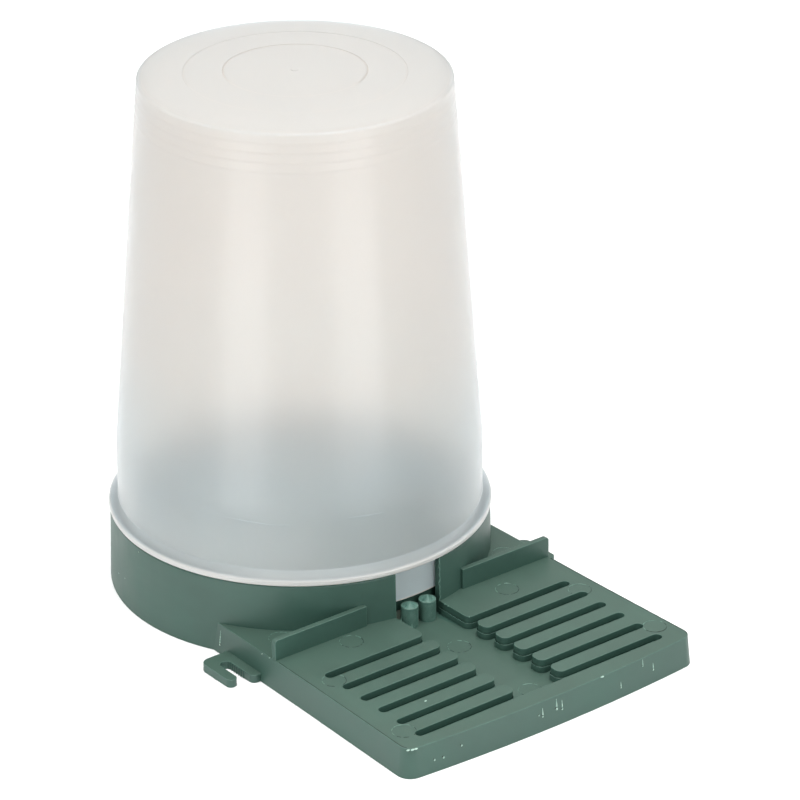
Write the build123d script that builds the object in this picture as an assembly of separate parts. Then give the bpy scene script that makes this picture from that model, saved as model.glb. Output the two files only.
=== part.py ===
from build123d import *
import math
import os

os.makedirs("parts", exist_ok=True)

# All sizes are millimetres. +Z is up, the reservoir stands on the Z axis, Z = 0 is the
# surface that the feeder rests on, and the platform points along -Y into the hive.

# Reservoir: an upturned pail, closed by its crown, whose mouth plugs into the base
flange_radius = 80.0
flange_thickness = 2.0
flange_slope = 3.5
neck_radius = 76.1
neck_height = 27.2
skirt_depth = 15.2
reservoir_rise = 186.4
reservoir_wall = 1.3
crown_radius = 63.4
crown_dome = 3.1
crown_chamfer = 0.8
crown_panel_radius = 44.4
crown_disc_radius = 28.5
crown_disc_depth = 0.2
stack_step_count = 3
stack_step_first = 4.2
stack_step_pitch = 3.85
stack_step_size = 0.2

# Ring and tray of the base: the ring carries the flange, the plug holds the mouth shut
ring_height = 32.8
ring_wall = 2.85
ring_draft = 1.35
seat_clearance = 0.5
floor_level = 7.2
floor_thickness = 2.0
plug_clearance = 0.6
plug_wall = 2.0
plug_engagement = 6.4
outlet_width = 20.0
outlet_height = 5.0

# Platform, the tongue that goes through the hive entrance
platform_top = 12.9
platform_draft = 5.5
platform_skin = 2.0
platform_start = 35.0
platform_corner = 163.8
platform_front = 167.3
platform_start_half_width = 70.5
platform_front_half_width = 73.4
platform_side_hollow = 0.4
platform_corner_radius = 5.0

# Feeding channel with its rows of grooves between bars
channel_width = 22.6
groove_count = 6
groove_first = 99.4
groove_pitch = 11.4
groove_width = 4.3
groove_half_length = 62.9
bar_corner_radius = 2.8

# Guard posts that keep bees out of the tray
post_radius = 3.6
post_spacing = 9.2
post_distance = 79.1
post_height = 9.0
post_rim = 0.5
post_point = 2.2

# Stops that meet the front of the hive
stop_face = 77.2
stop_thickness = 2.4
stop_height = 9.0
stop_inner_end = 25.0
stop_side_inset = 0.3
stop_corner_radius = 1.5

# Hooked lugs for the two fixing screws
lug_reach = 14.7
lug_thickness = 3.6
lug_back = 45.0
lug_back_radius = 4.0
lug_outer_arm = 4.6
lug_outer_length = 20.6
lug_inner_length = 23.3
lug_inner_radius = 2.5
screw_slot_width = 4.9
screw_slot_back = 6.3
# An end is round across all but a sliver of its width, so its two fillets never meet
round_end_share = 0.48

# Sizes that follow from the ones above
crown_level = ring_height + flange_thickness + reservoir_rise
neck_top = ring_height + flange_thickness + neck_height
mouth_level = ring_height - skirt_depth
ring_inner_radius = neck_radius + seat_clearance
ring_top_radius = ring_inner_radius + ring_wall
ring_foot_radius = ring_top_radius + ring_height * math.tan(math.radians(ring_draft))
plug_radius = neck_radius - reservoir_wall - plug_clearance
plug_top = mouth_level + plug_engagement
floor_underside = floor_level - floor_thickness
groove_last = groove_first + (groove_count - 1) * groove_pitch


def rounded(face, radius, *corners):
    """Round the corners of a flat face that lie nearest to the given points."""
    picked = [face.vertices().sort_by_distance(corner)[0] for corner in corners]
    return fillet(picked, radius)


def turned(section):
    """Turn a section, drawn as radius and height, about the Z axis."""
    return revolve(Plane.XZ * section, Axis.Z)


def cone_radius(level):
    """Outer radius of the reservoir's cone at a level."""
    share = (crown_level - level) / (crown_level - neck_top)
    return crown_radius + (neck_radius - crown_radius) * share


def dome_level(radius):
    """Level of the gently domed crown at a radius."""
    return crown_level + crown_dome * (1 - (radius / crown_radius) ** 2)


def stack_steps():
    """Points of the shallow stacking steps, from the crown down."""
    points = []
    for step in range(stack_step_count):
        level = crown_level - stack_step_first - step * stack_step_pitch
        radius = cone_radius(level)
        points.append((radius - stack_step_size / 2, level))
        points.append((radius + stack_step_size / 2, level))
    return points


def reservoir():
    """The pail: crown panel, stacking steps, cone, straight neck, flange and skirt."""
    flange_top = ring_height + flange_thickness
    panel_level = dome_level(crown_panel_radius)
    disc_edge = dome_level(crown_disc_radius)
    disc_level = disc_edge - crown_disc_depth
    chamfer_foot = crown_level - crown_chamfer
    inner_edge_level = crown_level - reservoir_wall
    inner_panel_level = panel_level - reservoir_wall
    inner_neck_radius = neck_radius - reservoir_wall
    outside = [
        (0, disc_level),
        (crown_disc_radius, disc_level),
        (crown_disc_radius, disc_edge),
        (crown_panel_radius, panel_level),
        (crown_radius - crown_chamfer, crown_level),
        (cone_radius(chamfer_foot), chamfer_foot),
        *stack_steps(),
        (neck_radius, neck_top),
        (neck_radius, flange_top + flange_slope),
        (flange_radius, flange_top),
        (flange_radius, ring_height),
        (neck_radius, ring_height),
        (neck_radius, mouth_level),
    ]
    inside = [
        (inner_neck_radius, mouth_level),
        (inner_neck_radius, neck_top),
        (cone_radius(inner_edge_level) - reservoir_wall, inner_edge_level),
        (crown_panel_radius, inner_panel_level),
        (0, inner_panel_level),
    ]
    return turned(make_face(Polyline(*outside, *inside, close=True)))


def ring():
    """The ring and tray as one drafted, solid disc."""
    upright = (Align.CENTER, Align.CENTER, Align.MIN)
    return Cone(ring_foot_radius, ring_top_radius, ring_height, align=upright)


def tray_spaces():
    """The well above the tray's floor, the hollow below it and the notch in the ring."""
    upright = (Align.CENTER, Align.CENTER, Align.MIN)
    well = Cylinder(ring_inner_radius, ring_height - floor_level, align=upright)
    below = Cylinder(ring_foot_radius - ring_wall, floor_underside, align=upright)
    notch = Box(
        channel_width,
        ring_foot_radius + ring_wall,
        ring_height - floor_level,
        align=(Align.CENTER, Align.MAX, Align.MIN),
    )
    return [Pos(0, 0, floor_level) * well, below, Pos(0, 0, floor_level) * notch]


def plug():
    """The collar inside the reservoir's mouth, with its low outlet at the front."""
    plan = Circle(plug_radius) - Circle(plug_radius - plug_wall)
    collar = extrude(plan, plug_top - floor_level)
    outlet = Box(
        outlet_width,
        plug_radius + plug_wall,
        outlet_height,
        align=(Align.CENTER, Align.MAX, Align.MIN),
    )
    return Pos(0, 0, floor_level) * (collar - outlet)


def side_half_width(distance):
    """Half width of the platform's top at a distance in front of the reservoir's axis."""
    share = (distance - platform_start) / (platform_corner - platform_start)
    spread = platform_front_half_width - platform_start_half_width
    return platform_start_half_width + spread * share


def platform_outline(inset=0.0):
    """Plan of the platform's top: flared, slightly hollow sides and a bowed front."""
    start_half = platform_start_half_width - inset
    front_half = platform_front_half_width - inset
    corner_y = inset - platform_corner
    start_y = -platform_start
    middle_distance = (platform_start + platform_corner) / 2
    middle_half = side_half_width(middle_distance) - platform_side_hollow - inset
    right = ThreePointArc(
        (start_half, start_y), (middle_half, -middle_distance), (front_half, corner_y)
    )
    left = ThreePointArc(
        (-front_half, corner_y), (-middle_half, -middle_distance), (-start_half, start_y)
    )
    front = ThreePointArc(
        (front_half, corner_y), (0, inset - platform_front), (-front_half, corner_y)
    )
    back = Line((-start_half, start_y), (start_half, start_y))
    face = make_face([right, front, left, back])
    return rounded(
        face, platform_corner_radius - inset, (front_half, corner_y), (-front_half, corner_y)
    )


def groove_rows():
    """Distance of each row of grooves in front of the reservoir's axis."""
    return [groove_first + row * groove_pitch for row in range(groove_count)]


def feeding_pattern():
    """Plan of the channel and its grooves, with round groove ends and bar corners."""
    half_groove = groove_width / 2
    pattern = Rectangle(
        channel_width, groove_last + half_groove, align=(Align.CENTER, Align.MAX)
    )
    corners = []
    for distance in groove_rows():
        pattern += Pos(0, -distance) * SlotOverall(2 * groove_half_length, groove_width)
        for side in (-1, 1):
            corners.append((side * channel_width / 2, half_groove - distance))
            if distance < groove_last:
                corners.append((side * channel_width / 2, -half_groove - distance))
    return rounded(pattern, bar_corner_radius, *corners)


def core_pattern():
    """Plan of what stays solid round the channel and grooves, seen from below."""
    skins = 2 * platform_skin
    pattern = Rectangle(
        channel_width + skins,
        groove_last + groove_width / 2 + platform_skin,
        align=(Align.CENTER, Align.MAX),
    )
    for distance in groove_rows():
        row = Rectangle(2 * groove_half_length + skins, groove_width + skins)
        pattern += Pos(0, -distance) * row
    return pattern


def platform():
    """The tongue as one drafted, solid block that runs into the ring."""
    foot_spread = platform_top * math.tan(math.radians(platform_draft))
    foot_plan = platform_outline(-foot_spread)
    top_plan = Pos(0, 0, platform_top) * platform_outline()
    return loft([foot_plan, top_plan], ruled=True)


def platform_spaces():
    """The channel with its grooves, and the hollow underside with the cores in the bars."""
    feeding = extrude(feeding_pattern(), platform_top - floor_level)
    inner_plan = platform_outline(platform_skin) - Circle(ring_foot_radius)
    hollow = extrude(inner_plan, floor_underside)
    cores = extrude(inner_plan - core_pattern(), platform_top - platform_skin)
    return [Pos(0, 0, floor_level) * feeding, hollow, cores]


def guard_post():
    """A round post whose top rises from a narrow rim to a blunt point."""
    section = make_face(
        Polyline(
            (0, 0),
            (post_radius, 0),
            (post_radius, post_height),
            (post_radius - post_rim, post_height),
            (0, post_height + post_point),
            close=True,
        )
    )
    return turned(section)


def hive_stop():
    """The right-hand stop, a thin upright rib whose face meets the hive's front."""
    outer_end = side_half_width(stop_face) - stop_side_inset
    length = outer_end - stop_inner_end
    plate = Rectangle(length, stop_height, align=(Align.MIN, Align.MIN))
    plate = rounded(plate, stop_corner_radius, (length, stop_height))
    rib = extrude(Plane.XZ * plate, -stop_thickness)
    return Pos(stop_inner_end, -stop_face, platform_top) * rib


def screw_lug():
    """The right-hand lug: an inner and an outer arm with an open screw slot between."""
    side = side_half_width(lug_back)
    outer = side + lug_reach
    slot_outer = outer - lug_outer_arm
    slot_inner = slot_outer - screw_slot_width
    back = -lug_back
    slot_end = back - screw_slot_back
    outer_end = back - lug_outer_length
    inner_end = back - lug_inner_length
    plan = make_face(
        Polyline(
            (side - platform_skin / 2, back),
            (outer, back),
            (outer, outer_end),
            (slot_outer, outer_end),
            (slot_outer, slot_end),
            (slot_inner, slot_end),
            (slot_inner, inner_end),
            (side - platform_skin / 2, inner_end),
            close=True,
        )
    )
    arm_round = round_end_share * lug_outer_arm
    slot_round = round_end_share * screw_slot_width
    plan = rounded(plan, lug_back_radius, (outer, back))
    plan = rounded(plan, arm_round, (outer, outer_end), (slot_outer, outer_end))
    plan = rounded(plan, slot_round, (slot_outer, slot_end), (slot_inner, slot_end))
    plan = rounded(plan, lug_inner_radius, (slot_inner, inner_end))
    return extrude(plan, lug_thickness)


def base():
    """The base, one moulding: ring, tray, platform, plug, posts, stops and lugs."""
    moulding = ring() + platform()
    for space in tray_spaces() + platform_spaces():
        moulding -= space
    stop, lug = hive_stop(), screw_lug()
    features = [
        plug(),
        Pos(post_spacing / 2, -post_distance, floor_level) * guard_post(),
        Pos(-post_spacing / 2, -post_distance, floor_level) * guard_post(),
        stop,
        mirror(stop, Plane.YZ),
        lug,
        mirror(lug, Plane.YZ),
    ]
    for feature in features:
        moulding += feature
    return moulding


export_step(reservoir(), "parts/reservoir.step")
export_step(base(), "parts/base.step")
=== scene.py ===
"""A hive entrance feeder: a translucent reservoir stands upturned in a green, grooved base.

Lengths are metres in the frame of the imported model: +Z is up, the reservoir stands on the Z axis
and the platform points along -Y. A size that a person would measure is given in millimetres, in a
field whose value is multiplied by MM where it is used.
"""

from __future__ import annotations

import logging
import math
from collections.abc import Callable, Iterable, Iterator, Sequence
from contextlib import contextmanager
from dataclasses import dataclass, field
from enum import Enum
from functools import cache, partial
from itertools import pairwise

import bmesh
import bpy
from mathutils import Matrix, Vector, noise
from mathutils.bvhtree import BVHTree

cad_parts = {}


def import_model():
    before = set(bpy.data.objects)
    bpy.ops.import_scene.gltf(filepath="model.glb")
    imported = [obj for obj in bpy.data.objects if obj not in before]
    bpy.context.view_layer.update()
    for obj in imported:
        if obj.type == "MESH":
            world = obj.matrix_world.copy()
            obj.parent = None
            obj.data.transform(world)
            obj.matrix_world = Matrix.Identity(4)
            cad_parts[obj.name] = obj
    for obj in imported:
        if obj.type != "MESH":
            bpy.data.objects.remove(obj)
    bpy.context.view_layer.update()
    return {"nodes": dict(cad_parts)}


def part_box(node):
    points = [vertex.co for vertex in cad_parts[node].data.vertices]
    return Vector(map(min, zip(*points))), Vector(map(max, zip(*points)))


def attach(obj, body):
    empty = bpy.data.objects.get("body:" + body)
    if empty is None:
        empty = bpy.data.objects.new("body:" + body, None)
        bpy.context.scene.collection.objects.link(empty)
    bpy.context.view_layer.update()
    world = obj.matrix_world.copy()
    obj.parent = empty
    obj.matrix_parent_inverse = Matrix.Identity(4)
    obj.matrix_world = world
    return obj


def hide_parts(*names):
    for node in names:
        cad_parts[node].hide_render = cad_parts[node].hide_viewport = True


MM = 0.001
FULL_TURN = 2 * math.pi
# Points of a turned shape that lie nearer than this become one
SEAM_MM = 0.001
# Edges of small pieces that turn by fewer degrees look smooth
SMOOTH_LIMIT = 40.0
INNER_SKIN = "inner_skin"
DENSITY = "wall_density"
# Paling of rounded corners and guard posts, partly from handling and partly painted highlight
EDGE_WEAR_AND_HIGHLIGHT = "edge_wear"
# How level a face outside the ring lies, which sets its painted sheen
LEVEL_FACE = "level_face"
# A Mix node's colour sockets share their names with others, so they go by index
MIX_A, MIX_B, MIXED = 6, 7, 2
log = logging.getLogger("entrance_feeder")

Point2 = tuple[float, float]
Point3 = tuple[float, float, float]
Colour = tuple[float, float, float, float]
Settings = dict[str | int, object]
Links = dict[str | int, bpy.types.NodeSocket]
AddNode = Callable[..., bpy.types.Node]


class Moulding(Enum):
    """The two mouldings, by the name that their body and their CAD node share."""

    BASE = "base"
    RESERVOIR = "reservoir"

    @property
    def slot(self) -> str:
        """Name of the record's material slot for this moulding."""
        return f"{self.value}_plastic"


class Wall(Enum):
    """A wall of the platform, by the way that one looks at it from outside."""

    FRONT = (0.0, 1.0, 0.0)
    LEFT = (1.0, 0.0, 0.0)
    RIGHT = (-1.0, 0.0, 0.0)


def linear(code: str) -> Colour:
    """Turn an sRGB hex colour into linear light.

    Args:
        code: Colour as "#rrggbb".

    Returns:
        Red, green, blue and a full alpha.
    """
    shares = [int(code[at : at + 2], 16) / 255 for at in (1, 3, 5)]
    red, green, blue = (
        share / 12.92 if share <= 0.04045 else ((share + 0.055) / 1.055) ** 2.4
        for share in shares
    )
    return red, green, blue, 1.0


def add_node(
    tree: bpy.types.NodeTree,
    kind: str,
    settings: Settings | None = None,
    links: Links | None = None,
) -> bpy.types.Node:
    """Add a node with its settings and links.

    Args:
        tree: Tree that gets the node.
        kind: Blender's identifier of the node type.
        settings: Values by property name, or by the name or index of an input.
        links: Output sockets by the name or index of the input that each feeds.

    Returns:
        The new node.
    """
    node = tree.nodes.new(kind)
    for key, value in (settings or {}).items():
        if isinstance(key, str) and hasattr(node, key):
            setattr(node, key, value)
        else:
            node.inputs[key].default_value = value
    for key, socket in (links or {}).items():
        tree.links.new(socket, node.inputs[key])
    return node


@dataclass(frozen=True)
class Pattern:
    """A noise pattern: the size of its features in millimetres, and its layers of detail."""

    size_mm: float
    detail: float = 2.0

    def settings(self) -> Settings:
        """Settings of a noise node that reads Object coordinates."""
        return {"Scale": 1 / (self.size_mm * MM), "Detail": self.detail}


@dataclass(frozen=True)
class Finish:
    """A finish: plain values on its shader, and patterns that nodes make."""

    name: str

    def plain(self) -> Settings:
        """Values, by shader input, that are the same all over the surface."""
        return {}

    def patterns(self, add: AddNode) -> Links:
        """Sockets, by shader input, of what varies over the surface."""
        return {}

    def material(self) -> bpy.types.Material:
        """Build the procedural material.

        Returns:
            The new material.
        """
        made = bpy.data.materials.new(self.name)
        made.use_nodes = True
        tree = made.node_tree
        shader = tree.nodes["Principled BSDF"]
        for label, value in self.plain().items():
            shader.inputs[label].default_value = value
        for label, socket in self.patterns(partial(add_node, tree)).items():
            tree.links.new(socket, shader.inputs[label])
        return made


@dataclass(frozen=True)
class GreenPolypropylene(Finish):
    """Polypropylene dyed green, injection moulded in a spark-eroded tool.

    The eye sees a satin, slightly waxy green, with a fine grain, faint clouds where the melt
    flowed, corners paled partly by handling and partly as painted highlight, and a painted
    sheen on level faces.
    """

    name: str = "green_polypropylene_moulded"
    deep: str = "#334f46"
    pale: str = "#37564c"
    # Corners and post tops pale towards this, partly from handling and partly as painted highlight
    rubbed_and_glint: str = "#5a8176"
    # Painted sheen: level faces outside the ring pale towards this warm grey
    top_sheen: str = "#907366"
    top_sheen_share: float = 0.05
    clouds: Pattern = Pattern(22.0, 3.0)
    flow: Pattern = Pattern(5.0)
    flow_stretch: float = 9.0
    flow_share: float = 0.35
    tone_range: Point2 = (0.35, 0.85)
    worn_patches: Pattern = Pattern(2.5, 4.0)
    # Real spark-erosion grain is about 0.05 mm, drawn coarser here so that it shows
    grain: Pattern = Pattern(0.5)
    grain_depth_mm: float = 0.008
    grain_strength: float = 0.5
    gloss_range: Point2 = (0.3, 0.7)
    roughness: Point2 = (0.40, 0.52)
    ior: float = 1.49
    specular: float = 0.45

    def plain(self) -> Settings:
        """Values, by shader input, that are the same all over the surface."""
        return {"IOR": self.ior, "Specular IOR Level": self.specular}

    def patterns(self, add: AddNode) -> Links:
        """Make clouds, flow lines, paled corners with painted highlight, painted sheen and grain.

        Args:
            add: Adds a node to the material, as add_node does.

        Returns:
            Sockets by the shader's input that each feeds.
        """
        place = add("ShaderNodeTexCoord").outputs["Object"]
        clouds, worn_patches, grain = (
            add("ShaderNodeTexNoise", pattern.settings(), {"Vector": place}).outputs["Fac"]
            for pattern in (self.clouds, self.worn_patches, self.grain)
        )
        # Flow lines run along the platform, so the pattern is drawn out along Y
        drawn = add(
            "ShaderNodeMapping", {"Scale": (1.0, 1 / self.flow_stretch, 1.0)}, {"Vector": place}
        )
        flow = add("ShaderNodeTexNoise", self.flow.settings(), {"Vector": drawn.outputs["Vector"]})
        tone = add(
            "ShaderNodeMath",
            {"operation": "MULTIPLY_ADD", 1: self.flow_share},
            {0: flow.outputs["Fac"], 2: clouds},
        )
        low, high = self.tone_range
        share = add(
            "ShaderNodeMapRange",
            {"From Min": low, "From Max": high},
            {"Value": tone.outputs["Value"]},
        )
        green = add(
            "ShaderNodeMix",
            {"data_type": "RGBA", MIX_A: linear(self.deep), MIX_B: linear(self.pale)},
            {0: share.outputs["Result"]},
        )
        # Handling rubs the rounded corners unevenly; their paling is partly painted highlight
        corner = add("ShaderNodeAttribute", {"attribute_name": EDGE_WEAR_AND_HIGHLIGHT})
        wear_and_highlight = add(
            "ShaderNodeMath",
            {"operation": "MULTIPLY", "use_clamp": True},
            {0: corner.outputs["Fac"], 1: worn_patches},
        )
        colour = add(
            "ShaderNodeMix",
            {"data_type": "RGBA", MIX_B: linear(self.rubbed_and_glint)},
            {0: wear_and_highlight.outputs["Value"], MIX_A: green.outputs[MIXED]},
        )
        # Painted sheen: faces that lie level are paled towards a warm grey
        level = add("ShaderNodeAttribute", {"attribute_name": LEVEL_FACE})
        sheen_amount = add(
            "ShaderNodeMath",
            {"operation": "MULTIPLY", 1: self.top_sheen_share},
            {0: level.outputs["Fac"]},
        )
        with_sheen = add(
            "ShaderNodeMix",
            {"data_type": "RGBA", MIX_B: linear(self.top_sheen)},
            {0: sheen_amount.outputs["Value"], MIX_A: colour.outputs[MIXED]},
        )
        low, high = self.gloss_range
        smoothest, roughest = self.roughness
        gloss = add(
            "ShaderNodeMapRange",
            {"From Min": low, "From Max": high, "To Min": smoothest, "To Max": roughest},
            {"Value": clouds},
        )
        bump = add(
            "ShaderNodeBump",
            {"Strength": self.grain_strength, "Distance": self.grain_depth_mm * MM},
            {"Height": grain},
        )
        return {
            "Base Color": with_sheen.outputs[MIXED],
            "Roughness": gloss.outputs["Result"],
            "Normal": bump.outputs["Normal"],
        }


@dataclass(frozen=True)
class NaturalPolypropylene(Finish):
    """Undyed polypropylene, thin-walled, injection moulded.

    The eye sees a milky wall that sends back the cooler part of the light and lets the warmer
    part through: it glows where light stands behind it, looks bluish over something dark, blurs
    what stands inside and carries broad, soft highlights with a few fine scratches.
    """

    name: str = "natural_polypropylene_moulded"
    outer_skin: str = "#d2e4eb"
    inner_skin: str = "#f4dccb"
    clouded: str = "#e0deda"
    clouds: Pattern = Pattern(35.0)
    cloud_share: float = 0.3
    scratches: Pattern = Pattern(0.9, 3.0)
    scratch_stretch: float = 40.0
    scratch_depth_mm: float = 0.02
    scratch_strength: float = 0.25
    transmission: float = 0.69
    roughness: Point2 = (0.28, 0.34)
    gloss_ior: float = 1.49
    gloss_roughness: float = 0.2
    gloss_share: float = 0.3
    # Scatter in the milky wall hides most of the sharp bending that a clear one would show
    body_ior: float = 1.2

    def plain(self) -> Settings:
        """Values, by shader input, that are the same all over the surface."""
        return {
            "IOR": self.body_ior,
            "Coat Weight": self.gloss_share,
            "Coat Roughness": self.gloss_roughness,
            "Coat IOR": self.gloss_ior,
        }

    def patterns(self, add: AddNode) -> Links:
        """Make the two skins, clouds, scratches and the light that comes through.

        Args:
            add: Adds a node to the material, as add_node does.

        Returns:
            Sockets by the shader's input that each feeds.
        """
        place = add("ShaderNodeTexCoord").outputs["Object"]
        # Thick plastic, such as the crown and the flange's lip, lets less light through
        density = add("ShaderNodeAttribute", {"attribute_name": DENSITY})
        through = add(
            "ShaderNodeMath",
            {"operation": "POWER", 0: self.transmission},
            {1: density.outputs["Fac"]},
        )
        # The wall scatters cool light off its outer face and warms what comes from its inner one
        inner = add("ShaderNodeAttribute", {"attribute_name": INNER_SKIN})
        skin = add(
            "ShaderNodeMix",
            {"data_type": "RGBA", MIX_A: linear(self.outer_skin), MIX_B: linear(self.inner_skin)},
            {0: inner.outputs["Fac"]},
        )
        clouds = add("ShaderNodeTexNoise", self.clouds.settings(), {"Vector": place})
        milky = add(
            "ShaderNodeMath",
            {"operation": "MULTIPLY", 1: self.cloud_share},
            {0: clouds.outputs["Fac"]},
        )
        colour = add(
            "ShaderNodeMix",
            {"data_type": "RGBA", MIX_B: linear(self.clouded)},
            {0: milky.outputs["Value"], MIX_A: skin.outputs[MIXED]},
        )
        smoothest, roughest = self.roughness
        gloss = add(
            "ShaderNodeMapRange",
            {"To Min": smoothest, "To Max": roughest},
            {"Value": clouds.outputs["Fac"]},
        )
        # Stacking rubs the wall round its girth, so scratches lie nearly level
        along = 1 / self.scratch_stretch
        drawn = add("ShaderNodeMapping", {"Scale": (along, along, 1.0)}, {"Vector": place})
        scratches = add(
            "ShaderNodeTexNoise", self.scratches.settings(), {"Vector": drawn.outputs["Vector"]}
        )
        bump = add(
            "ShaderNodeBump",
            {"Strength": self.scratch_strength, "Distance": self.scratch_depth_mm * MM},
            {"Height": scratches.outputs["Fac"]},
        )
        return {
            "Base Color": colour.outputs[MIXED],
            "Roughness": gloss.outputs["Result"],
            "Transmission Weight": through.outputs["Value"],
            "Normal": bump.outputs["Normal"],
        }


@dataclass(frozen=True)
class MottledFinish(Finish):
    """A finish in uneven patches of two tones."""

    deep: str
    pale: str
    patches: Pattern
    roughness: float
    spread: Point2 = (0.35, 0.65)
    ior: float = 1.49

    def plain(self) -> Settings:
        """Values, by shader input, that are the same all over the surface."""
        return {"IOR": self.ior, "Roughness": self.roughness}

    def patterns(self, add: AddNode) -> Links:
        """Make the patches.

        Args:
            add: Adds a node to the material, as add_node does.

        Returns:
            Sockets by the shader's input that each feeds.
        """
        place = add("ShaderNodeTexCoord").outputs["Object"]
        patches = add("ShaderNodeTexNoise", self.patches.settings(), {"Vector": place})
        low, high = self.spread
        share = add(
            "ShaderNodeMapRange",
            {"From Min": low, "From Max": high},
            {"Value": patches.outputs["Fac"]},
        )
        colour = add(
            "ShaderNodeMix",
            {"data_type": "RGBA", MIX_A: linear(self.deep), MIX_B: linear(self.pale)},
            {0: share.outputs["Result"]},
        )
        return {"Base Color": colour.outputs[MIXED]}


@dataclass(frozen=True)
class LitWhite(Finish):
    """White paint under strong lamps, so that the board glows evenly."""

    name: str = "lit_white_board"
    colour: str = "#ffffff"
    strength: float = 4.2

    def plain(self) -> Settings:
        """Values, by shader input, that are the same all over the surface."""
        return {"Emission Color": linear(self.colour), "Emission Strength": self.strength}


# Stress whitens the plastic where it was torn or squeezed: small, pale, glossy slivers. On the
# blister beads and tails the pale colour is partly painted highlight
STRESSED_AND_GLINT = MottledFinish(
    "green_polypropylene_stressed_and_glint", "#76968a", "#aac4b8", Pattern(0.8), roughness=0.3
)
# Handling polishes thin rims and ledges: fine lines of a lighter green. On the ledge band and
# the pin rims' back halves that green is painted highlight, on the post rims partly so
RUBBED_AND_GLINT = MottledFinish(
    "green_polypropylene_rubbed_and_glint", "#47665b", "#67897d", Pattern(2.0), roughness=0.4
)
# Painted shade: thin lines and specks of a nearly black green, drawn where fine steps, gaps
# and burst bubbles lie in shade
PAINTED_SHADE = MottledFinish(
    "green_polypropylene_painted_shade", "#0e1a16", "#1f332b", Pattern(1.5), roughness=0.6
)
# Emulsion paint on a flat board: matt, nearly white, with a hardly visible unevenness
PAINTED_FLOOR = MottledFinish(
    "pale_painted_board",
    "#fafafa",
    "#f4f4f4",
    Pattern(180.0),
    roughness=0.8,
    spread=(0.0, 1.0),
    ior=1.5,
)


def placed(name: str, data: bpy.types.ID) -> bpy.types.Object:
    """Put something into the scene as an object at the origin.

    Args:
        name: Name of the object and its data.
        data: A mesh, a camera or a light.

    Returns:
        The object.
    """
    data.name = name
    made = bpy.data.objects.new(name, data)
    bpy.context.scene.collection.objects.link(made)
    return made


def evaluated(worker: bpy.types.Object) -> bpy.types.Mesh:
    """Take the plain mesh that an object's modifiers make, and remove the object.

    Args:
        worker: Object with live modifiers.

    Returns:
        The mesh.
    """
    graph = bpy.context.evaluated_depsgraph_get()
    mesh = bpy.data.meshes.new_from_object(worker.evaluated_get(graph))
    bpy.data.objects.remove(worker)
    return mesh


def mesh_of(
    name: str,
    points: Iterable[Sequence[float]],
    edges: Sequence[tuple[int, int]] = (),
    faces: Sequence[tuple[int, ...]] = (),
) -> bpy.types.Mesh:
    """Make a mesh from its points, and from edges or faces where it has them.

    Args:
        name: Name of the mesh.
        points: Places of the points.
        edges: Pairs of points that an edge joins.
        faces: Points round each face.

    Returns:
        The mesh.
    """
    made = bpy.data.meshes.new(name)
    made.from_pydata([tuple(point) for point in points], edges, faces)
    return made


def give(
    mesh: bpy.types.Mesh,
    label: str,
    values: Sequence[object],
    kind: str = "FLOAT",
    domain: str = "POINT",
) -> None:
    """Give each point or face of a mesh its own value.

    Args:
        mesh: Mesh that gets the attribute.
        label: Name of the attribute.
        values: One value for each point or face.
        kind: Blender's type of the attribute, FLOAT or FLOAT_VECTOR.
        domain: What carries the values, POINT or FACE.
    """
    key = "vector" if kind == "FLOAT_VECTOR" else "value"
    layer = mesh.attributes.new(label, kind, domain)
    for item, value in zip(layer.data, values):
        setattr(item, key, value)


@contextmanager
def editing(mesh: bpy.types.Mesh) -> Iterator[bmesh.types.BMesh]:
    """Open a mesh for changes, and write them back at the end.

    Args:
        mesh: Mesh that is changed.

    Yields:
        The mesh as a bmesh.
    """
    shape = bmesh.new()
    shape.from_mesh(mesh)
    yield shape
    shape.to_mesh(mesh)
    shape.free()


def smooth(mesh: bpy.types.Mesh, limit: float) -> None:
    """Shade a mesh smooth, apart from its sharp edges.

    Args:
        mesh: Mesh that is shaded.
        limit: Turn in degrees from which an edge is sharp.
    """
    with editing(mesh) as shape:
        for face in shape.faces:
            face.smooth = True
        for edge in shape.edges:
            edge.smooth = edge.calc_face_angle(math.pi) < math.radians(limit)


def outward(mesh: bpy.types.Mesh) -> None:
    """Turn the faces of a mesh outwards.

    Args:
        mesh: Closed mesh whose faces all point one way.
    """
    with editing(mesh) as shape:
        if shape.calc_volume(signed=True) < 0:
            bmesh.ops.reverse_faces(shape, faces=shape.faces)


def hand_over(piece: bpy.types.Object, moulding: Moulding, stands_for: bool = False) -> None:
    """Let a piece ride on its moulding and log it.

    Args:
        piece: Finished piece, at the origin.
        moulding: Moulding that it belongs to.
        stands_for: Whether it is shown in place of the moulding's CAD node.
    """
    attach(piece, moulding.value)
    if stands_for:
        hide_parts(moulding.value)
    log.info("%s rides on %s, %d faces", piece.name, moulding.value, len(piece.data.polygons))


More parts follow.
